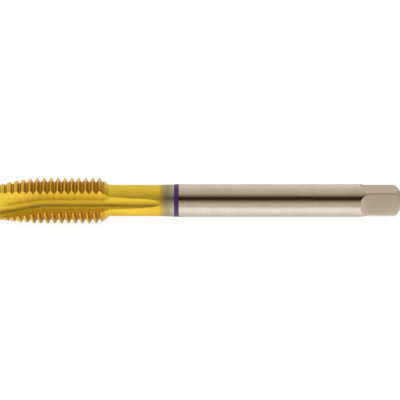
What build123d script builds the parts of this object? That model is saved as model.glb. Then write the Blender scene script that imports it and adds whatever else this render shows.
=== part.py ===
from build123d import *
import math
import os

# A machine tap for M10 x 1.5 through holes: three straight flutes, a spiral point at the
# front and a long reduced shank with a driving square.
#
# Frame, in millimetres: the axis of the tap is X, the cutting end points to -X and the
# driving square to +X, and Z is up. The origin lies on the axis, midway along the shank.
# The tap lies as it comes to rest, with one flute facing straight down.

# ---- Driving dimensions ------------------------------------------------------------

# Thread
THREAD_DIAMETER = 10.0
THREAD_PITCH = 1.5
THREAD_ANGLE = 60.0
GROOVE_FLOOR = 0.25              # flat at the bottom of the groove
GROOVE_DEPTH = 0.92
GROOVE_START = 0.047             # behind the tip, where the groove crosses the top line

# Cutting end
TIP_DIAMETER = 8.4               # small end of the lead chamfer
LEAD_LENGTH = 8.0                # lead chamfer, where the teeth grow to full height
THREAD_LENGTH = 21.8             # tip to the end of the last full thread
BACK_CONE_LENGTH = 2.0           # from the thread down to the neck

# Flutes
FLUTE_COUNT = 3
RAKE_ANGLE = 12.0                # hook of the cutting face, against the radius
FLUTE_ANGLE = 67.0               # between the cutting face and the heel wall
FLUTE_FLOOR_RADIUS = 1.6
HEEL_WALL_OFFSET = 1.83          # how far from the axis the heel wall passes
FLUTE_PAST_THREAD = 0.4          # straight stretch past the thread
RAMP_LENGTH = 7.4                # where the wheel rises slowly, before it lifts out
RAMP_RISE = 0.46
FLUTE_WHEEL_RADIUS = 25.0        # the grinding wheel, which leaves the rounded end
CUTTING_EDGE_LEAN = 24.5         # cutting edge, ahead of the plane the wheel lifts in
DOWN_FLUTE_LEAN = 5.7            # turn of the wheel's plane off straight down

# Spiral point, ground with the flute's own wheel
POINT_LENGTH = 9.6
POINT_ANGLE = 12.7               # turn of the cutting face over the point
POINT_PLUNGE = 6.4               # slope of the floor, deeper towards the tip

# Neck and shank
NECK_DIAMETER = 6.84
NECK_TAPER_LENGTH = 2.9          # where the neck starts to widen, before the band
SHANK_DIAMETER = 7.2
OVERALL_LENGTH = 87.0

# Driving square
SQUARE_SIZE = 5.5                # across flats
SQUARE_LENGTH = 7.2              # full flats, up to the end of the tap
SQUARE_RUNOUT_RADIUS = 2.3
SQUARE_TURN = 10.9               # first flat's normal, above level on the near side
END_CHAMFER_LENGTH = 1.2
END_FACE_DIAMETER = 4.1
CENTRE_DIAMETER = 2.0            # turning centre in the end face
CENTRE_ANGLE = 60.0
CENTRE_DRILL_DIAMETER = 0.8
CENTRE_DEPTH = 2.2

# Colour band, on the last of the neck's taper, which stays just under the shank
BAND_SEAT_DIAMETER = 7.1         # large end of the taper, at the back of the band
BAND_GAP = 3.0                   # from the end of the flutes to the band
BAND_WIDTH = 1.0
BAND_THICKNESS = 0.04

# Room for cutters to start and end outside the metal
CLEARANCE = 1.0

# ---- Worked out from them ----------------------------------------------------------


def polar(radius, angle):
    """Point or direction in a cross-section, by its angle from +Y towards +Z."""
    return Vector(math.cos(math.radians(angle)), math.sin(math.radians(angle))) * radius


thread_radius = THREAD_DIAMETER / 2
root_radius = thread_radius - GROOVE_DEPTH
tip_radius = TIP_DIAMETER / 2
neck_radius = NECK_DIAMETER / 2
band_seat_radius = BAND_SEAT_DIAMETER / 2
shank_radius = SHANK_DIAMETER / 2
reach = 2 * thread_radius        # well outside the metal

# Flute in cross-section, with the wheel's lift pointing up. The cutting face runs inwards
# from the edge, and the heel wall passes the axis at its own offset. The two meet in the
# flute's corner, which the floor's radius rounds.
cutting_face = 90 + CUTTING_EDGE_LEAN - RAKE_ANGLE   # direction, from +Y towards +Z
heel_wall = cutting_face - FLUTE_ANGLE
cutting_edge = polar(thread_radius, 90 + CUTTING_EDGE_LEAN)
wall_normal = polar(1, heel_wall + 90)
edge_height = cutting_edge.dot(wall_normal) - HEEL_WALL_OFFSET
flute_corner = cutting_edge - polar(edge_height / math.sin(math.radians(FLUTE_ANGLE)), cutting_face)
corner_to_centre = FLUTE_FLOOR_RADIUS / math.sin(math.radians(FLUTE_ANGLE / 2))
floor_centre = flute_corner + polar(corner_to_centre, cutting_face - FLUTE_ANGLE / 2)
floor_height = floor_centre.Y - FLUTE_FLOOR_RADIUS

# Stations along the axis, each measured from the tip.
neck_start = THREAD_LENGTH + BACK_CONE_LENGTH
flute_straight = THREAD_LENGTH + FLUTE_PAST_THREAD
wheel_start = flute_straight + RAMP_LENGTH
wheel_lift = neck_radius - floor_height - RAMP_RISE
flute_end = wheel_start + math.sqrt(wheel_lift * (2 * FLUTE_WHEEL_RADIUS - wheel_lift))
band_start = flute_end + BAND_GAP
neck_end = band_start - NECK_TAPER_LENGTH
square_start = OVERALL_LENGTH - SQUARE_LENGTH

# The shank's cylinder runs from the band to the end chamfer. Along the square only its
# four corners are left of it.
shank_start = band_start + BAND_WIDTH
shank_end = OVERALL_LENGTH - END_CHAMFER_LENGTH
shank_middle = (shank_start + shank_end) / 2
taper_slope = (band_seat_radius - neck_radius) / (shank_start - neck_end)
band_front_radius = band_seat_radius - taper_slope * BAND_WIDTH
tip = -shank_middle              # X of the tip, in the part's own frame


def from_tip(distance):
    """X of a station that is given as a distance from the tip."""
    return tip + distance


# ---- Blank: everything that is turned ----------------------------------------------

with BuildPart() as blank:
    with BuildSketch(Plane.XZ):
        with BuildLine():
            Polyline(
                (from_tip(0), 0),
                (from_tip(0), tip_radius),
                (from_tip(LEAD_LENGTH), thread_radius),
                (from_tip(THREAD_LENGTH), thread_radius),
                (from_tip(neck_start), neck_radius),
                (from_tip(neck_end), neck_radius),
                (from_tip(shank_start), band_seat_radius),
                (from_tip(shank_start), shank_radius),
                (from_tip(shank_end), shank_radius),
                (from_tip(OVERALL_LENGTH), END_FACE_DIAMETER / 2),
                (from_tip(OVERALL_LENGTH), 0),
                close=True,
            )
        make_face()
    revolve(axis=Axis.X)

# ---- Thread groove: one right-hand turn, repeated along the axis --------------------

half_angle = math.radians(THREAD_ANGLE / 2)
groove_top = GROOVE_DEPTH + 0.1  # a little above the crests
groove_slant = groove_top * math.tan(half_angle)
first_turn = from_tip(GROOVE_START) - THREAD_PITCH
groove_end = THREAD_LENGTH + BACK_CONE_LENGTH
turn_count = math.ceil((groove_end - GROOVE_START) / THREAD_PITCH) + 1

with BuildPart() as groove_turn:
    with BuildLine():
        thread_path = Helix(
            pitch=THREAD_PITCH,
            height=THREAD_PITCH,
            radius=root_radius,
            center=(first_turn, 0, 0),
            direction=(1, 0, 0),
        )
    groove_plane = Plane(
        origin=thread_path @ 0,
        x_dir=(1, 0, 0),
        z_dir=Vector(1, 0, 0).cross((thread_path @ 0) - Vector(first_turn, 0, 0)),
    )
    with BuildSketch(groove_plane):
        with BuildLine():
            Polyline(
                (-GROOVE_FLOOR / 2, 0),
                (GROOVE_FLOOR / 2, 0),
                (GROOVE_FLOOR / 2 + groove_slant, groove_top),
                (-GROOVE_FLOOR / 2 - groove_slant, groove_top),
                close=True,
            )
        make_face()
    sweep(path=thread_path, is_frenet=True)

# ---- Flute: the wheel's profile, drawn with its lift pointing up ---------------------

with BuildPart() as flute:
    with BuildSketch(Plane.YZ.offset(from_tip(flute_straight))) as flute_profile:
        with BuildLine():
            Polyline(
                flute_corner + polar(reach, heel_wall),
                flute_corner,
                flute_corner + polar(reach, cutting_face),
                close=True,
            )
        make_face()
        fillet(flute_profile.vertices().sort_by(Axis.Y)[0], radius=FLUTE_FLOOR_RADIUS)
    extrude(amount=-flute_straight - CLEARANCE)
    # Past the thread the wheel first rises slowly, on a ramp.
    ramp = Vector(RAMP_LENGTH, 0, RAMP_RISE)
    extrude(flute_profile.sketch, amount=ramp.length, dir=ramp)
    # Then it lifts out of the metal, and its own radius rounds the end of the flute.
    wheel_profile = flute_profile.sketch.moved(Location(ramp))
    wheel_centre = (from_tip(wheel_start), 0, floor_height + RAMP_RISE + FLUTE_WHEEL_RADIUS)
    lift_cosine = (wheel_centre[2] - shank_radius) / FLUTE_WHEEL_RADIUS
    revolve(
        wheel_profile,
        axis=Axis(wheel_centre, (0, -1, 0)),
        revolution_arc=math.degrees(math.acos(lift_cosine)) + 1,
    )

# ---- Spiral point: a second pass of the wheel, turned across the flute --------------

# Each millimetre towards the tip, the wheel moves sideways into the cutting face by the
# point's angle and deeper along that face by its plunge. Its profile stands square to
# that travel, and it starts well back, where it still runs inside the open flute.
sideways = polar(math.tan(math.radians(POINT_ANGLE)), cutting_face + 90)
deeper = polar(-math.tan(math.radians(POINT_PLUNGE)), cutting_face)
drift = sideways + deeper
gash_start = POINT_LENGTH + thread_radius
gash_direction = Vector(-1, drift.X, drift.Y)
gash_corner = Vector(
    from_tip(gash_start),
    flute_corner.X - drift.X * thread_radius,
    flute_corner.Y - drift.Y * thread_radius,
)
gash_plane = Plane(origin=gash_corner, z_dir=gash_direction)


def on_gash_plane(direction):
    """Point of the gash's plane that a wall reaches, from its direction in a cross-section."""
    away = polar(reach, direction)
    local = gash_plane.to_local_coords(gash_corner + Vector(0, away.X, away.Y))
    return (local.X, local.Y)


with BuildPart() as gash:
    with BuildSketch(gash_plane) as gash_profile:
        with BuildLine():
            Polyline(
                on_gash_plane(heel_wall),
                (0, 0),
                on_gash_plane(cutting_face),
                close=True,
            )
        make_face()
        gash_point = gash_profile.vertices().sort_by_distance((0, 0, 0))[0]
        fillet(gash_point, radius=FLUTE_FLOOR_RADIUS)
    extrude(amount=gash_start * gash_direction.length + thread_radius)

# ---- Flat of the square, drawn facing up -------------------------------------------

with BuildPart() as flat:
    with BuildSketch(Plane.XZ):
        with BuildLine():
            flat_line = Line(
                (from_tip(OVERALL_LENGTH) + CLEARANCE, SQUARE_SIZE / 2),
                (from_tip(square_start), SQUARE_SIZE / 2),
            )
            runout = JernArc(
                start=flat_line @ 1,
                tangent=flat_line % 1,
                radius=SQUARE_RUNOUT_RADIUS,
                arc_size=-60,
            )
            Polyline(
                runout @ 1,
                ((runout @ 1).X, reach),
                (from_tip(OVERALL_LENGTH) + CLEARANCE, reach),
                flat_line @ 0,
            )
        make_face()
    extrude(amount=thread_radius, both=True)

# ---- The tap ------------------------------------------------------------------------

# The first flute faces down; the wheel that cuts it lifts a little off straight down.
flute_turns = [180 + DOWN_FLUTE_LEAN + 360 / FLUTE_COUNT * k for k in range(FLUTE_COUNT)]

with BuildPart() as tap_body:
    add(blank.part)
    with Locations([(THREAD_PITCH * turn, 0, 0) for turn in range(turn_count)]):
        add(groove_turn.part, mode=Mode.SUBTRACT)
    for turn in flute_turns:
        add(flute.part, rotation=(turn, 0, 0), mode=Mode.SUBTRACT)
        add(gash.part, rotation=(turn, 0, 0), mode=Mode.SUBTRACT)
    for side in range(4):
        add(flat.part, rotation=(90 * side - SQUARE_TURN, 0, 0), mode=Mode.SUBTRACT)
    # Turning centre in the end face of the square.
    with Locations(Plane(origin=(from_tip(OVERALL_LENGTH), 0, 0), z_dir=(1, 0, 0))):
        CounterSinkHole(
            radius=CENTRE_DRILL_DIAMETER / 2,
            counter_sink_radius=CENTRE_DIAMETER / 2,
            counter_sink_angle=CENTRE_ANGLE,
            depth=CENTRE_DEPTH,
        )

# ---- Colour band: a thin ring of lacquer in front of the shank ----------------

with BuildPart() as colour_band:
    with BuildSketch(Plane.XZ):
        with BuildLine():
            Polyline(
                (from_tip(band_start), band_front_radius),
                (from_tip(shank_start), band_seat_radius),
                (from_tip(shank_start), band_seat_radius + BAND_THICKNESS),
                (from_tip(band_start), band_front_radius + BAND_THICKNESS),
                close=True,
            )
        make_face()
    revolve(axis=Axis.X)

# ---- Write one file for each piece ---------------------------------------------------

os.makedirs("parts", exist_ok=True)

tap_body.part.label = "tap_body"
export_step(tap_body.part, "parts/tap_body.step")

colour_band.part.label = "colour_band"
export_step(colour_band.part, "parts/colour_band.step")

print(f"shank, from the band to the end chamfer: {shank_end - shank_start:.3f} mm")
print(f"flutes end {flute_end:.3f} mm and the band starts {band_start:.3f} mm from the tip")
print(f"tip at X {tip:.3f}, drive end at X {from_tip(OVERALL_LENGTH):.3f}")
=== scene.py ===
# %% [markdown]
# # A machine tap, lit and finished in Blender
# A tap cuts a thread in a drilled hole. This one has a gold coated cutting end, a bare
# polished shank with a violet colour band, and a square for the wrench. Its shape comes from
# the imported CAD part. This lesson gives it a smooth skin, its finishes and its light.

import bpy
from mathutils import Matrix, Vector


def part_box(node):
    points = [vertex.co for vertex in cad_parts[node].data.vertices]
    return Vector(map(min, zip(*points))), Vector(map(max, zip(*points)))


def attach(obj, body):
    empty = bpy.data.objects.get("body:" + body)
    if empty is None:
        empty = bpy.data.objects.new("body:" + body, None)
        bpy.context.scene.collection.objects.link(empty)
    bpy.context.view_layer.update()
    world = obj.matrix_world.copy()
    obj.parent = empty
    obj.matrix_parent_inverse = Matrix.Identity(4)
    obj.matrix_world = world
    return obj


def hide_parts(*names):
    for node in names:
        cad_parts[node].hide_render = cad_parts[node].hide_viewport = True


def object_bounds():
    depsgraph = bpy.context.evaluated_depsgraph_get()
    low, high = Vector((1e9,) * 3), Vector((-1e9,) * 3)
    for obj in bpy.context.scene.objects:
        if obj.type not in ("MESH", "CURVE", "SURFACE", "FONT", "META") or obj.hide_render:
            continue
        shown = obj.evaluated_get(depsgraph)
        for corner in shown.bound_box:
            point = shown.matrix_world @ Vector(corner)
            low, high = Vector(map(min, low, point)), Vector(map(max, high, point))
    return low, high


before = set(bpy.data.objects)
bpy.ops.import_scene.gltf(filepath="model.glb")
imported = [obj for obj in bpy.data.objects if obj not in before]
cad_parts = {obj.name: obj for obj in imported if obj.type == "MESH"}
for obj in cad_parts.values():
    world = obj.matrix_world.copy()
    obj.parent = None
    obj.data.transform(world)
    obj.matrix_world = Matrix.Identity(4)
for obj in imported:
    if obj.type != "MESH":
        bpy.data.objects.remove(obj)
cad_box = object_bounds()
print("CAD box:", [tuple(round(c * 1000, 2) for c in corner) for corner in cad_box], "mm")

# %% [markdown]
# ## Where things are
# The tap lies along the X axis, with its tip towards -X. Two places are used all through the
# lesson: the tip, from which stations on the cutting end are counted, and the drive end,
# from which those on the square are. Both are read from the CAD box, not typed in, so they
# follow the part if its length ever changes.

# %% Tip and drive end
import math

import bmesh
import bpy
from mathutils import Matrix, Vector

scene = bpy.context.scene
MM = 0.001
tip_x = cad_box[0].x
drive_x = cad_box[1].x
middle_x = (tip_x + drive_x) / 2
print("tap length:", round((drive_x - tip_x) / MM, 2), "mm")

# %% [markdown]
# ## The camera
# A tap is long and thin, so it is seen square from the side with a long lens, a little from
# above. A wide lens near the tap would swell its middle. The sensor is to the lens as the
# tap's length is to the distance, so the tap just fills the frame.

# %% Camera
CAMERA_DISTANCE = 0.300
CAMERA_HEIGHT_ANGLE = math.radians(32.8)
SENSOR_WIDTH = 36
FRAME_SHIFT = 0.001

towards_camera = Vector((0, -math.cos(CAMERA_HEIGHT_ANGLE), math.sin(CAMERA_HEIGHT_ANGLE)))
camera_data = bpy.data.cameras.new("camera")
camera_data.sensor_width = SENSOR_WIDTH
camera_data.lens = SENSOR_WIDTH * CAMERA_DISTANCE / (drive_x - tip_x)
camera_data.shift_y = FRAME_SHIFT
camera_data.clip_start = 0.01
camera_data.clip_end = 10
camera = bpy.data.objects.new("camera", camera_data)
camera.location = Vector((middle_x, 0, 0)) + towards_camera * CAMERA_DISTANCE
camera.rotation_euler = (-towards_camera).to_track_quat("-Z", "Y").to_euler()
scene.collection.objects.link(camera)
scene.camera = camera
print("lens:", round(camera_data.lens, 1), "mm")

# %% [markdown]
# ## Nodes and links
# A material is a small network of nodes. Written out, each node and each link takes a line
# or two of its own, and the idea gets lost. These helpers add a node, join it to what comes
# before it, and do one sum, so that a step of the material reads as one line.

# %% Node helpers
def add_node(tree, kind, **settings):
    """A new node: kind is its type without the word ShaderNode."""
    node = tree.nodes.new("ShaderNode" + kind)
    for name, value in settings.items():
        setattr(node, name, value)
    return node


def feed(tree, socket, source):
    """Joins an output to a socket, or sets the socket to a plain value."""
    if isinstance(source, bpy.types.NodeSocket):
        tree.links.new(source, socket)
    else:
        socket.default_value = source


def work_out(tree, operation, *terms, clamp=False):
    """One Math node over its terms."""
    node = add_node(tree, "Math", operation=operation, use_clamp=clamp)
    for socket, term in zip(node.inputs, terms):
        feed(tree, socket, term)
    return node.outputs[0]


def mix_shaders(tree, share, first, second):
    """The first shader, or the second one where share is 1."""
    node = add_node(tree, "MixShader")
    for socket, source in zip(node.inputs, (share, first, second)):
        feed(tree, socket, source)
    return node.outputs[0]


print("helpers:", ", ".join(f.__name__ for f in (add_node, feed, work_out, mix_shaders)))

# %% [markdown]
# ## The world
# The world is a plain white room. The camera, polished surfaces and clear ones see it as
# pure white. Dull surfaces get their light from a second Background, so that the two can be
# set apart: at a strength of 1, a dull colour looks about as it is written. Lamps would add
# hot spots that the shank doesn't have, so there are none.

# %% World: a white room
ROOM_LIGHT = 1.0
WHITE = (1, 1, 1, 1)

world = bpy.data.worlds.new("white_room")
scene.world = world
world.use_nodes = True
room = world.node_tree
room.nodes.clear()

soft_light = add_node(room, "Background")
soft_light.inputs["Color"].default_value = WHITE
soft_light.inputs["Strength"].default_value = ROOM_LIGHT
seen_white = add_node(room, "Background")
seen_white.inputs["Color"].default_value = WHITE

room_ray = add_node(room, "LightPath")
camera_or_gloss = work_out(room, "MAXIMUM", room_ray.outputs["Is Camera Ray"],
                           room_ray.outputs["Is Glossy Ray"])
sees_room = work_out(room, "MAXIMUM", camera_or_gloss,
                     room_ray.outputs["Is Transmission Ray"])
room_output = add_node(room, "OutputWorld")
feed(room, room_output.inputs["Surface"],
     mix_shaders(room, sees_room, soft_light.outputs[0], seen_white.outputs[0]))
scene.view_settings.view_transform = "Standard"
print("light on dull surfaces:", soft_light.inputs["Strength"].default_value)

# %% [markdown]
# ## The table
# The tap lies on a plain white table. One large square is enough for it, made with the grid
# operator and set at the height of the tap's lowest point.

# %% Table top
TABLE_HALF_WIDTH = 1.5

table = bmesh.new()
bmesh.ops.create_grid(table, x_segments=1, y_segments=1, size=TABLE_HALF_WIDTH)
bmesh.ops.translate(table, verts=table.verts, vec=(0, 0, cad_box[0].z))
table_mesh = bpy.data.meshes.new("table_top")
table.to_mesh(table_mesh)
table.free()
table_top = bpy.data.objects.new("table_top", table_mesh)
scene.collection.objects.link(table_top)
print("table top at", round(cad_box[0].z / MM, 3), "mm")

# %% [markdown]
# ## The table as the camera sees it
# Even white paint sends back only part of the light, so a plain table comes out light grey.
# More light would wash out the tap, so the table glows on its own instead. A thin share of
# ordinary paint takes the rest from the room, and keeps the soft shadow under the tap.

# %% Table: paint and glow
TABLE_GLOW = 0.90
TABLE_PAINT = (0.16, 0.16, 0.16, 1)

table_material = bpy.data.materials.new("white_table")
table_material.use_nodes = True
table_tree = table_material.node_tree
table_tree.nodes.clear()

glow = add_node(table_tree, "Emission")
glow.inputs["Color"].default_value = WHITE
glow.inputs["Strength"].default_value = TABLE_GLOW
paint = add_node(table_tree, "BsdfDiffuse")
paint.inputs["Color"].default_value = TABLE_PAINT
painted_table = add_node(table_tree, "AddShader")
feed(table_tree, painted_table.inputs[0], glow.outputs[0])
feed(table_tree, painted_table.inputs[1], paint.outputs[0])
print("white of the lit table:", round(TABLE_GLOW + TABLE_PAINT[0] * ROOM_LIGHT, 2))

# %% [markdown]
# ## Ranges and ramps
# Two more helpers turn a measure into a shade. One spreads a range of measures over a range
# of values, with soft ends or evenly. The other is a colour ramp, which turns a value into a
# colour by a short list of stops. Nearly every finish in this lesson is made of these two.

# %% Range and ramp helpers
def spread(tree, value, start, end, low=0.0, high=1.0, smooth=True):
    """Goes from low to high as a value goes from start to end, and stays there."""
    kind = "SMOOTHSTEP" if smooth else "LINEAR"
    node = add_node(tree, "MapRange", interpolation_type=kind)
    for name, number in zip(("From Min", "From Max", "To Min", "To Max"),
                            (start, end, low, high)):
        node.inputs[name].default_value = number
    feed(tree, node.inputs["Value"], value)
    return node.outputs[0]


def ramp(tree, value, stops):
    """A colour ramp from (position, colour) stops."""
    node = add_node(tree, "ValToRGB")
    elements = node.color_ramp.elements
    while len(elements) > 1:
        elements.remove(elements[-1])
    elements[0].position, elements[0].color = stops[0][0], (*stops[0][1], 1)
    for position, colour in stops[1:]:
        elements.new(position).color = (*colour, 1)
    feed(tree, node.inputs["Fac"], value)
    return node.outputs["Color"]


print("helpers:", ", ".join(f.__name__ for f in (spread, ramp)))

# %% [markdown]
# ## The table as the steel sees it
# Polished steel mirrors the table, so the table's shading shapes the lower half of the
# shank. That shading is painted: a painted pool of light just in front of the tap, a painted
# shadow grey right under it, and a painted fall-off towards the front, where a studio is
# darker. Lamps could paint such bands, but a colour ramp across the table puts each of them
# exactly where it is wanted.

# %% Table: its shading
# Painted light and shade of the mirrored table: a lit pool in front, a shadow under the tap,
# dimmer stretches to the front and back.
PAINTED_LIT_TABLE = (1.00, 1.00, 1.00)
TABLE_PAINTED_SHADOW = (0.62, 0.62, 0.64)
TABLE_IN_FRONT = (0.54, 0.48, 0.41)
TABLE_BEHIND = (0.86, 0.85, 0.84)
NEAR_TABLE = 40 * MM


def table_stop(millimetres):
    """Place on the ramp of a distance behind the tap's axis."""
    return (millimetres * MM + NEAR_TABLE) / (2 * NEAR_TABLE)


table_place = add_node(table_tree, "TexCoord")
table_axes = add_node(table_tree, "SeparateXYZ")
feed(table_tree, table_axes.inputs[0], table_place.outputs["Object"])
across_table = spread(table_tree, table_axes.outputs["Y"], -NEAR_TABLE, NEAR_TABLE,
                      smooth=False)
# The painted light and shadow across the table, as one ramp.
table_painted_shade = ramp(table_tree, across_table, [
    (table_stop(-28), TABLE_IN_FRONT),
    (table_stop(-7), PAINTED_LIT_TABLE),
    (table_stop(0), TABLE_PAINTED_SHADOW),
    (table_stop(20), TABLE_BEHIND),
])
print("shaded within", round(NEAR_TABLE / MM), "mm of the tap's axis")

# %% [markdown]
# ## Past the tap's ends
# A studio is darker to the sides too, which keeps the faces that look along the tap from
# being as bright as the rest. The glow falls off past both ends of the tap. Part of the
# mirrored table is paint, so that the tap's own shadow shows in its reflection.

# %% Table: its mirrored side
END_LIGHT = 42 * MM
END_DARK = 100 * MM
NEAR_GLOW = 1.15
FAR_GLOW = 0.35
PAINT_SHARE = 0.55

off_centre = work_out(table_tree, "SUBTRACT", table_axes.outputs["X"], middle_x)
past_ends = work_out(table_tree, "ABSOLUTE", off_centre)
mirrored_glow = add_node(table_tree, "Emission")
feed(table_tree, mirrored_glow.inputs["Color"], table_painted_shade)
feed(table_tree, mirrored_glow.inputs["Strength"],
     spread(table_tree, past_ends, END_LIGHT, END_DARK, NEAR_GLOW, FAR_GLOW))
mirrored_paint = add_node(table_tree, "BsdfDiffuse")
feed(table_tree, mirrored_paint.inputs["Color"], table_painted_shade)
mirrored_table = mix_shaders(table_tree, PAINT_SHARE, mirrored_glow.outputs[0],
                             mirrored_paint.outputs[0])
print("falls off from", round(END_LIGHT / MM), "to", round(END_DARK / MM), "mm")

# %% [markdown]
# ## The two tables in one
# Light Path tells the rays apart: a glossy ray gets the shaded table, and any other ray gets
# the white one. From below the table is clear, so that the underside of the tap can be
# looked at through it.

# %% Table: which side is seen
table_ray = add_node(table_tree, "LightPath")
table_from_above = mix_shaders(table_tree, table_ray.outputs["Is Glossy Ray"],
                               painted_table.outputs[0], mirrored_table)
clear_table = add_node(table_tree, "BsdfTransparent")
table_side = add_node(table_tree, "NewGeometry")
table_output = add_node(table_tree, "OutputMaterial")
feed(table_tree, table_output.inputs["Surface"],
     mix_shaders(table_tree, table_side.outputs["Backfacing"], table_from_above,
                 clear_table.outputs[0]))
table_mesh.materials.append(table_material)
print("table nodes:", len(table_tree.nodes))

# %% [markdown]
# ## The tent
# Polished steel has no look of its own: it shows what stands around it. Polished tools are
# often set in a tent of cloth with a dark strip high up in front. The strip draws the dark
# line along the shank that makes a cylinder look round and hard. The line could be painted
# on, but it would stay put when the tap is turned. Here the tent is a large drum about the
# tap's axis, from the cone operator with two equal radii.

# %% Tent: the drum
TENT_RADIUS = 0.45
TENT_LENGTH = 1.1
TENT_SIDES = 64
LAY_ALONG_X = Matrix.Rotation(math.radians(90), 4, "Y")

drum = bmesh.new()
bmesh.ops.create_cone(
    drum, cap_ends=True, segments=TENT_SIDES, radius1=TENT_RADIUS, radius2=TENT_RADIUS,
    depth=TENT_LENGTH, matrix=LAY_ALONG_X,
)
tent_mesh = bpy.data.meshes.new("tent")
drum.to_mesh(tent_mesh)
drum.free()
tent = bpy.data.objects.new("tent", tent_mesh)
scene.collection.objects.link(tent)
print("tent faces:", len(tent_mesh.polygons))

# %% [markdown]
# ## The tent's cloth
# The cloth is dyed by the angle round the axis: level with the tap in front is 0 degrees,
# and straight above it is 90. Arctangent turns a point's height and depth into that angle.
# Grey cloth frames the dark strip, and paler cloth hangs low in front and at the back. One
# ramp gives soft borders, which separate panels of cloth would not.

# %% Tent: its dye
PALE_CLOTH = (0.64, 0.60, 0.54)
GREY_CLOTH = (0.49, 0.42, 0.35)
DARK_STRIP = (0.028, 0.014, 0.009)
BACK_CLOTH = (0.74, 0.69, 0.64)


def height_stop(degrees):
    """Place on the ramp of an angle, from in front (0) up over the top (90)."""
    return (degrees + 180) / 360


tent_material = bpy.data.materials.new("tent_cloth")
tent_material.use_nodes = True
tent_tree = tent_material.node_tree
tent_tree.nodes.clear()

tent_place = add_node(tent_tree, "TexCoord")
tent_axes = add_node(tent_tree, "SeparateXYZ")
feed(tent_tree, tent_axes.inputs[0], tent_place.outputs["Object"])
towards_front = work_out(tent_tree, "MULTIPLY", tent_axes.outputs["Y"], -1)
height = work_out(tent_tree, "ARCTAN2", tent_axes.outputs["Z"], towards_front)
dye = ramp(tent_tree, spread(tent_tree, height, -math.pi, math.pi, smooth=False), [
    (height_stop(-14), PALE_CLOTH),
    (height_stop(12), GREY_CLOTH),
    (height_stop(38), DARK_STRIP),
    (height_stop(54), DARK_STRIP),
    (height_stop(82), GREY_CLOTH),
    (height_stop(145), BACK_CLOTH),
])
print("stops of the cloth:", len(dye.node.color_ramp.elements))

# %% [markdown]
# ## A tent for reflections only
# The cloth grows darker towards the tent's two ends, for the same reason as the table. It
# glows for glossy rays, and is clear to every other ray, so it never stands between the
# camera and the white room and never shades the table.

# %% Tent: its light
TENT_BRIGHT = 0.15
TENT_DIM = 0.55
DIM_GLOW = 0.34

sideways = work_out(tent_tree, "ABSOLUTE", tent_axes.outputs["X"])
lit_cloth = add_node(tent_tree, "Emission")
feed(tent_tree, lit_cloth.inputs["Color"], dye)
feed(tent_tree, lit_cloth.inputs["Strength"],
     spread(tent_tree, sideways, TENT_BRIGHT, TENT_DIM, 1.0, DIM_GLOW))
clear_tent = add_node(tent_tree, "BsdfTransparent")
tent_ray = add_node(tent_tree, "LightPath")
tent_output = add_node(tent_tree, "OutputMaterial")
feed(tent_tree, tent_output.inputs["Surface"],
     mix_shaders(tent_tree, tent_ray.outputs["Is Glossy Ray"], clear_tent.outputs[0],
                 lit_cloth.outputs[0]))
tent_mesh.materials.append(tent_material)
print("tent nodes:", len(tent_tree.nodes))

# %% [markdown]
# ## The tap's skin
# The CAD mesh is loose triangles, which would look faceted. A copy is merged into one skin,
# which is shaded smooth. Edges that turn more than a ground surface does stay sharp: the
# crests of the thread, the lips of the flutes, the flats of the square. Rounding those with
# real bevels would blunt a tool whose edges are meant to cut.

# %% Tap
SAME_POINT = 1e-7
SHARP_EDGE = math.radians(24)

tap_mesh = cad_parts["tap_body"].data.copy()
tap_mesh.name = "tap"
skin = bmesh.new()
skin.from_mesh(tap_mesh)
bmesh.ops.remove_doubles(skin, verts=skin.verts, dist=SAME_POINT)
for face in skin.faces:
    face.smooth = True
for edge in skin.edges:
    edge.smooth = not edge.is_manifold or edge.calc_face_angle(0) < SHARP_EDGE
sharp_edges = sum(not edge.smooth for edge in skin.edges)
skin.to_mesh(tap_mesh)
skin.free()
tap = bpy.data.objects.new("tap", tap_mesh)
scene.collection.objects.link(tap)
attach(tap, "root")
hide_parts("tap_body")
print("tap faces:", len(tap_mesh.polygons), "sharp edges:", sharp_edges)

# %% [markdown]
# ## Finding one's way on the steel
# The tap is one bar with several finishes. Cutting it into a piece for each would leave
# seams, so one material finds out where it is. Three facts are enough for that: how far
# along the tap a point lies, how far it is from the axis, and which way its surface faces.

# %% Steel: where a point lies
steel = bpy.data.materials.new("coated_steel")
steel.use_nodes = True
steel_tree = steel.node_tree
steel_shader = steel_tree.nodes["Principled BSDF"]

steel_place = add_node(steel_tree, "TexCoord")
steel_axes = add_node(steel_tree, "SeparateXYZ")
feed(steel_tree, steel_axes.inputs[0], steel_place.outputs["Object"])
station = steel_axes.outputs["X"]

outwards = add_node(steel_tree, "VectorMath", operation="MULTIPLY")
outwards.inputs[1].default_value = (0, 1, 1)
feed(steel_tree, outwards.inputs[0], steel_place.outputs["Object"])
outwards_length = add_node(steel_tree, "VectorMath", operation="LENGTH")
feed(steel_tree, outwards_length.inputs[0], outwards.outputs[0])
radius = outwards_length.outputs["Value"]
steel_face = add_node(steel_tree, "NewGeometry")
print("the steel reaches from X", round(tip_x / MM, 1), "to", round(drive_x / MM, 1), "mm")

# %% [markdown]
# ## Turned, or cut by a wheel
# What was turned faces straight away from the axis. The walls of the flutes, the spiral
# point, the flanks of the thread and most of the square were cut by a grinding wheel or a
# cutter, and face another way. The dot product of the surface's direction and the direction
# away from the axis tells them apart.

# %% Steel: wheel-cut faces
STRAIGHT_OUT = 0.985
TURNED_ASIDE = 0.90

away = add_node(steel_tree, "VectorMath", operation="NORMALIZE")
feed(steel_tree, away.inputs[0], outwards.outputs[0])
faces_away = add_node(steel_tree, "VectorMath", operation="DOT_PRODUCT")
feed(steel_tree, faces_away.inputs[0], away.outputs[0])
feed(steel_tree, faces_away.inputs[1], steel_face.outputs["Normal"])
wheel_cut = spread(steel_tree, faces_away.outputs["Value"], STRAIGHT_OUT, TURNED_ASIDE)
print("turned up to", round(math.degrees(math.acos(STRAIGHT_OUT)), 1), "degrees, wheel-cut",
      "from", round(math.degrees(math.acos(TURNED_ASIDE)), 1))

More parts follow.
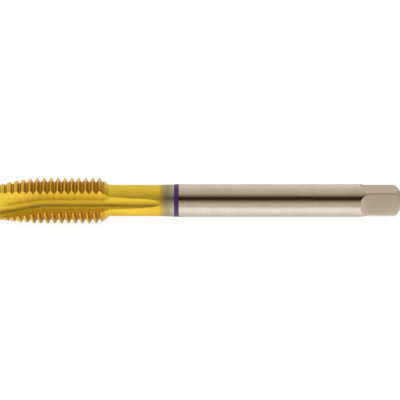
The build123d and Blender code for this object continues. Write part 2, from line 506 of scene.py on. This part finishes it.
# %% [markdown]
# ## Rings and wavers
# The edge of the coating isn't clean. Fine rings left by turning hold it back here and
# there, and a slow waver moves it to and fro. A noise along X alone gives rings, and a noise
# in space gives the waver. Together they shift the place where the coating ends.

# %% Steel: noises
RING_SCALE = 6000
WAVER_SCALE = 350
RING_SHIFT = 0.14
WAVER_SHIFT = 0.12
SOFT_DETAIL = 2.0


def noise(tree, scale, detail, place, along_line=False):
    """Noise in space, or along a line where the place is a single value."""
    node = add_node(tree, "TexNoise", noise_dimensions="1D" if along_line else "3D")
    node.inputs["Scale"].default_value = scale
    node.inputs["Detail"].default_value = detail
    feed(tree, node.inputs["W" if along_line else "Vector"], place)
    return node.outputs["Fac"]


def sway(tree, value, amount):
    """Turns a noise about its middle into a shift to both sides."""
    return work_out(tree, "MULTIPLY_ADD", value, amount, -amount / 2)


rings = noise(steel_tree, RING_SCALE, SOFT_DETAIL, station, along_line=True)
waver = noise(steel_tree, WAVER_SCALE, SOFT_DETAIL, steel_place.outputs["Object"])
edge_shift = work_out(steel_tree, "ADD", sway(steel_tree, rings, RING_SHIFT),
                      sway(steel_tree, waver, WAVER_SHIFT))
print("rings every", round(1 / RING_SCALE / MM, 2), "mm, wavers every",
      round(1 / WAVER_SCALE / MM, 1), "mm")

# %% [markdown]
# ## From gold to bare steel
# The cutting end is coated with gold nitride, which thins out just before the band. As it
# does, it passes through bronze and grey green before it gives way to bare steel. Two
# materials would meet in a hard line, so one ramp along the tap carries all these colours.

# %% Steel: the coating
GOLD = (0.96, 0.655, 0.050)
BRONZE = (0.645, 0.45, 0.12)
GREY_GREEN = (0.43, 0.39, 0.22)
THIN_COAT = (0.58, 0.56, 0.44)
BARE_STEEL = (0.80, 0.76, 0.63)
FADE_START = 34.0 * MM
FADE_END = 39.0 * MM

clean_fade = spread(steel_tree, station, tip_x + FADE_START, tip_x + FADE_END,
                    smooth=False)
fade = work_out(steel_tree, "ADD", clean_fade, edge_shift)
coating = ramp(steel_tree, fade, [
    (0.10, GOLD),
    (0.28, BRONZE),
    (0.45, GREY_GREEN),
    (0.80, THIN_COAT),
    (0.86, BARE_STEEL),
])
print("the coating fades over", round((FADE_END - FADE_START) / MM, 1), "mm")

# %% [markdown]
# ## The thread's flanks
# Down in the thread's groove the gold is painted browner, as painted shade for the dark of
# the groove. A flank is known by how far it leans along the tap. The crests keep their gold,
# and so do the faces inside the core, such as the end face, which leans too. Smooth borders
# keep the painted shade from looking like a stripe.

# %% Steel: flanks
LEANS_A_LITTLE = 0.35
LEANS_MUCH = 0.80
CREST = 4.95 * MM
UNDER_CREST = 4.80 * MM
CORE_RADIUS = 3.95 * MM

steel_facing = add_node(steel_tree, "SeparateXYZ")
feed(steel_tree, steel_facing.inputs[0], steel_face.outputs["Normal"])
lean = work_out(steel_tree, "ABSOLUTE", steel_facing.outputs["X"])
leans_over = spread(steel_tree, lean, LEANS_A_LITTLE, LEANS_MUCH)
below_crest = spread(steel_tree, radius, CREST, UNDER_CREST)
outside_core = work_out(steel_tree, "GREATER_THAN", radius, CORE_RADIUS)
flank_zone = work_out(steel_tree, "MULTIPLY", below_crest, outside_core)
flank = work_out(steel_tree, "MULTIPLY", leans_over, flank_zone)
print("flanks lie between", round(CORE_RADIUS / MM, 2), "and", round(CREST / MM, 2), "mm")

# %% [markdown]
# ## The groove's floor
# Between two flanks lies a narrow floor, which faces straight out and so isn't caught by its
# lean. Its distance from the axis gives it away. The flutes cross that distance as well, but
# they are wheel-cut. Floor and flanks together get the painted brown shade, as far as the
# thread goes.

# %% Steel: groove
FLANK_FOOT, FLOOR_HIGHEST = 4.15 * MM, 4.11 * MM
FLOOR_LOWEST, BELOW_FLOOR = 4.04 * MM, 3.98 * MM
THREAD_ENDS, THREAD_GONE = 22.4 * MM, 23.4 * MM

under_flanks = spread(steel_tree, radius, FLANK_FOOT, FLOOR_HIGHEST)
over_core = spread(steel_tree, radius, BELOW_FLOOR, FLOOR_LOWEST)
floor_zone = work_out(steel_tree, "MULTIPLY", under_flanks, over_core)
turned = work_out(steel_tree, "SUBTRACT", 1.0, wheel_cut)
groove_floor = work_out(steel_tree, "MULTIPLY", floor_zone, turned)
in_groove = work_out(steel_tree, "MAXIMUM", flank, groove_floor)
on_thread = spread(steel_tree, station, tip_x + THREAD_GONE, tip_x + THREAD_ENDS)
# Where the groove's painted shade goes.
painted_shade_here = work_out(steel_tree, "MULTIPLY", in_groove, on_thread)
print("brown up to", round(THREAD_ENDS / MM, 1), "mm behind the tip")

# %% [markdown]
# ## Painted shade into gold
# The painted brown shade goes over the coating's colour: only in the groove, and fully only
# where the flank leans most. Mixing two colours by a mask is needed again for the square, so
# it gets a helper.

# %% Steel: the thread's painted shade
# Painted shade: this brown stands in for the dark down in the thread's groove.
FLANK_SHADE_BROWN = (0.67, 0.36, 0.050, 1)


def mix_colours(tree, amount, first, second):
    """The first colour, or the second one where amount is 1."""
    node = add_node(tree, "Mix", data_type="RGBA")
    feed(tree, node.inputs["Factor"], amount)
    feed(tree, node.inputs["A"], first)
    feed(tree, node.inputs["B"], second)
    return node.outputs["Result"]


# The coating, with the painted groove shade laid over it.
tap_colour = mix_colours(steel_tree, painted_shade_here, coating, FLANK_SHADE_BROWN)
print("brown of the flanks:", FLANK_SHADE_BROWN[:3])

# %% [markdown]
# ## Where the square is milled
# All of the last stretch is milled. Before it, the cutter runs out through the shank, and
# only what lies under the shank's own radius there was touched by it. The direction of the
# surface can't be used: the middles of the flats face straight out, as the shank does.

# %% Steel: the square's place
SQUARE_STARTS, SQUARE_FULL = 7.6 * MM, 7.0 * MM
SHANK_SKIN, UNDER_SKIN = 3.590 * MM, 3.560 * MM
RUN_OUT_ROOM = 12.0 * MM

on_square = spread(steel_tree, station, drive_x - SQUARE_STARTS, drive_x - SQUARE_FULL)
under_shank = spread(steel_tree, radius, SHANK_SKIN, UNDER_SKIN)
near_square = work_out(steel_tree, "GREATER_THAN", station, drive_x - RUN_OUT_ROOM)
run_out = work_out(steel_tree, "MULTIPLY", under_shank, near_square)
milled = work_out(steel_tree, "MAXIMUM", on_square, run_out)
print("fully milled over the last", round(SQUARE_FULL / MM, 1), "mm")

# %% [markdown]
# ## The square's steel
# The square is left as it comes off the cutter, so it is duller and browner than the shank.
# Its corners have rubbed in tap holders and are brighter. They lie furthest from the axis,
# so the radius finds them.

# %% Steel: the square's colour
MILLED_STEEL = (0.70, 0.605, 0.475, 1)
WORN_CORNER = (0.96, 0.85, 0.70, 1)
FLAT_RADIUS, CORNER_RADIUS = 3.52 * MM, 3.60 * MM

rubbed = spread(steel_tree, radius, FLAT_RADIUS, CORNER_RADIUS)
milled_colour = mix_colours(steel_tree, rubbed, MILLED_STEEL, WORN_CORNER)
clean_colour = mix_colours(steel_tree, milled, tap_colour, milled_colour)
print("corners are worn over", round((CORNER_RADIUS - FLAT_RADIUS) / MM, 2), "mm")

# %% [markdown]
# ## Grinding marks
# Turning leaves fine rings. A wheel that runs along the tap leaves long streaks: the same
# kind of noise, drawn out along X by a Mapping node. The floors of the flutes face straight
# out as a turned surface does, but they lie inside the core, so they get streaks as well.
# Modelled scratches would need millions of faces, and noise needs none.

# %% Steel: marks
STREAK_STRETCH = 0.03
STREAK_SCALE = 5000
FINE_DETAIL = 3.0

lengthwise = add_node(steel_tree, "Mapping")
lengthwise.inputs["Scale"].default_value = (STREAK_STRETCH, 1, 1)
feed(steel_tree, lengthwise.inputs["Vector"], steel_place.outputs["Object"])
streaks = noise(steel_tree, STREAK_SCALE, FINE_DETAIL, lengthwise.outputs[0])

inside_core = work_out(steel_tree, "SUBTRACT", on_thread, outside_core)
by_wheel = work_out(steel_tree, "MAXIMUM", wheel_cut, inside_core)
streaked = work_out(steel_tree, "SUBTRACT", by_wheel, milled, clamp=True)
mark_mix = add_node(steel_tree, "Mix")
feed(steel_tree, mark_mix.inputs["Factor"], streaked)
feed(steel_tree, mark_mix.inputs["A"], rings)
feed(steel_tree, mark_mix.inputs["B"], streaks)
marks = mark_mix.outputs["Result"]
print("streaks are", round(1 / STREAK_STRETCH), "times as long as wide")

# %% [markdown]
# ## Colour of the steel
# A tool that has been handled isn't one even colour. A soft, cloudy patina and the marks
# lighten and darken it by a few per cent. Noise rarely leaves the range of 0.3 to 0.7, so
# that range is spread over the change that is wanted.

# %% Steel: colour
PATINA_SCALE = 260
USUAL_NOISE = (0.3, 0.7)
PATINA_TONE = (0.95, 1.05)
MARK_TONE = (0.95, 1.04)


def vary(tree, value, change):
    """Spreads the usual range of a noise over a change from one factor to another."""
    return spread(tree, value, *USUAL_NOISE, *change, smooth=False)


patina = noise(steel_tree, PATINA_SCALE, FINE_DETAIL, steel_place.outputs["Object"])
shading = work_out(steel_tree, "MULTIPLY", vary(steel_tree, patina, PATINA_TONE),
                   vary(steel_tree, marks, MARK_TONE))
shaded = add_node(steel_tree, "VectorMath", operation="SCALE")
feed(steel_tree, shaded.inputs[0], clean_colour)
feed(steel_tree, shaded.inputs["Scale"], shading)
feed(steel_tree, steel_shader.inputs["Base Color"], shaded.outputs[0])
print("tone from", round(PATINA_TONE[0] * MARK_TONE[0], 2), "to",
      round(PATINA_TONE[1] * MARK_TONE[1], 2))

# %% [markdown]
# ## Roughness
# The coating scatters light, and the polished shank hardly does, so roughness follows the
# same fade as the colour. Wheel-cut faces are a little smoother than turned ones, and the
# milled square is rougher. Last, a mark is duller in its dark lines than on its bright ones.

# %% Steel: roughness
COATED_DULL, BRONZE_DULL, THIN_DULL, BARE_DULL = 0.44, 0.36, 0.28, 0.16
WHEEL_SHARE = 0.78
MILLED_EXTRA = 0.28
MARK_DULL = (1.14, 0.86)


def grey(value):
    """A neutral grey, for a ramp of plain values."""
    return (value, value, value)


dullness = ramp(steel_tree, fade, [
    (0.00, grey(COATED_DULL)),
    (0.40, grey(BRONZE_DULL)),
    (0.80, grey(THIN_DULL)),
    (0.90, grey(BARE_DULL)),
])
wheel_factor = spread(steel_tree, wheel_cut, 0, 1, 1.0, WHEEL_SHARE, smooth=False)
cut_dullness = work_out(steel_tree, "MULTIPLY", dullness, wheel_factor)
all_dullness = work_out(steel_tree, "MULTIPLY_ADD", milled, MILLED_EXTRA, cut_dullness)
feed(steel_tree, steel_shader.inputs["Roughness"],
     work_out(steel_tree, "MULTIPLY", all_dullness, vary(steel_tree, marks, MARK_DULL)))
print("roughness:", COATED_DULL, "coated,", BARE_DULL, "bare,",
      round(BARE_DULL * WHEEL_SHARE + MILLED_EXTRA, 2), "milled")

# %% [markdown]
# ## Relief of the marks
# The marks catch the light, but they are far too fine to model. A Bump node tilts the
# surface for the light alone, as if they were a hundredth of a millimetre deep, and at a
# weak strength. The outline and the size of the tap stay as they are.

# %% Steel: relief
MARK_DEPTH = 0.01 * MM
MARK_STRENGTH = 0.25

relief = add_node(steel_tree, "Bump")
relief.inputs["Strength"].default_value = MARK_STRENGTH
relief.inputs["Distance"].default_value = MARK_DEPTH
feed(steel_tree, relief.inputs["Height"], marks)
feed(steel_tree, steel_shader.inputs["Normal"], relief.outputs["Normal"])
print("mark depth:", round(MARK_DEPTH / MM, 3), "mm")

# %% [markdown]
# ## Metal and coating
# The nitride coating is a ceramic with the shine of a metal. A share of it is treated as a
# coloured body and not as metal, and a smaller share where a wheel left the steel smooth
# under it. Bare steel is all metal. The ramp follows the clean fade, because rings of metal
# and no metal would glitter.

# %% Steel: metal
COATED_METAL, BRONZE_METAL, THIN_METAL = 0.72, 0.85, 0.90
WHEEL_METAL = 0.08

metal = ramp(steel_tree, clean_fade, [
    (0.00, grey(COATED_METAL)),
    (0.40, grey(BRONZE_METAL)),
    (0.80, grey(THIN_METAL)),
    (0.86, grey(1.00)),
])
feed(steel_tree, steel_shader.inputs["Metallic"],
     work_out(steel_tree, "MULTIPLY_ADD", wheel_cut, WHEEL_METAL, metal, clamp=True))
tap_mesh.materials.clear()
tap_mesh.materials.append(steel)
print("steel nodes:", len(steel_tree.nodes))

# %% [markdown]
# ## The colour band
# A thin ring of lacquer round the tap tells by its colour for which material the tap is
# meant. The CAD part already has the ring, and its shape is right, so it only gets a finish.
# Lacquer that is brushed on is never quite even, so one noise varies its depth of colour and
# its gloss a little from place to place.

# %% Band: violet lacquer
DEEP_VIOLET = (0.034, 0.012, 0.085)
THIN_VIOLET = (0.050, 0.018, 0.115)
LACQUER_GLOSS = (0.18, 0.32)
BRUSH_SCALE = 900

lacquer = bpy.data.materials.new("violet_lacquer")
lacquer.use_nodes = True
band_tree = lacquer.node_tree
band_shader = band_tree.nodes["Principled BSDF"]
band_place = add_node(band_tree, "TexCoord")
brushwork = noise(band_tree, BRUSH_SCALE, FINE_DETAIL, band_place.outputs["Object"])
feed(band_tree, band_shader.inputs["Base Color"],
     ramp(band_tree, brushwork, [(0.30, DEEP_VIOLET), (0.70, THIN_VIOLET)]))
feed(band_tree, band_shader.inputs["Roughness"],
     spread(band_tree, brushwork, 0, 1, *LACQUER_GLOSS, smooth=False))
print("lacquer roughness:", LACQUER_GLOSS)

# %% [markdown]
# ## The band's surface
# Lacquer dries with a faint ripple. The same noise drives it, so that the ripple and the
# colour belong together. The finish goes on the CAD ring itself, which isn't copied.

# %% Band: ripple
RIPPLE_HEIGHT = 0.01 * MM
RIPPLE_STRENGTH = 0.3

ripple = add_node(band_tree, "Bump")
ripple.inputs["Strength"].default_value = RIPPLE_STRENGTH
ripple.inputs["Distance"].default_value = RIPPLE_HEIGHT
feed(band_tree, ripple.inputs["Height"], brushwork)
feed(band_tree, band_shader.inputs["Normal"], ripple.outputs["Normal"])

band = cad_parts["colour_band"]
band.data.materials.clear()
band.data.materials.append(lacquer)
band_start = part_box("colour_band")[0].x - tip_x
print("band from", round(band_start / MM, 2), "mm behind the tip")
